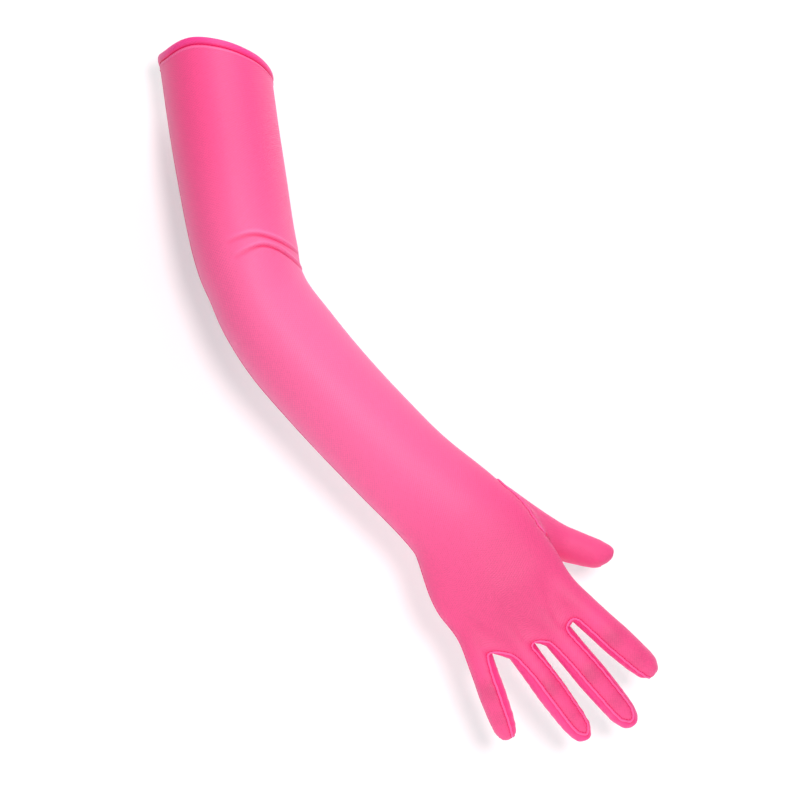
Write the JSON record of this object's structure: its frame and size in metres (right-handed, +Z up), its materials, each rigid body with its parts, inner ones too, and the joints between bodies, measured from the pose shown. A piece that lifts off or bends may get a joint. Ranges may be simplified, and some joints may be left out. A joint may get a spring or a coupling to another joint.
{
  "type": "long mesh glove",
  "caption": "Upper-arm-length stretch mesh dress glove for the right hand, shaped as worn: bent elbow, spread fingers, set-in thumb, stitched finger strip and elastic hem.",
  "frame": {"origin": "middle of the arm opening, inside the elastic hem, where an upper arm fills and holds the glove", "axes": "+Z up towards the wearer's shoulder, +X towards the thumb side, +Y from the back of the hand towards the palm; the back of the hand faces -Y"},
  "size_m": [0.336, 0.119, 0.4674],
  "materials": {
    "mesh_cloth": "fine stretch mesh knit, soft satin sheen",
    "strip_cloth": "same stretch mesh, cut as a narrow strip, with rolled stitched seams",
    "hem_cloth": "folded mesh over a thin elastic, zigzag stitched"
  },
  "bodies": {
    "root": {"hem_band": "hem_cloth", "sleeve_and_hand": "mesh_cloth", "finger_strip": "strip_cloth", "thumb": "mesh_cloth"}
  },
  "joints": []
}
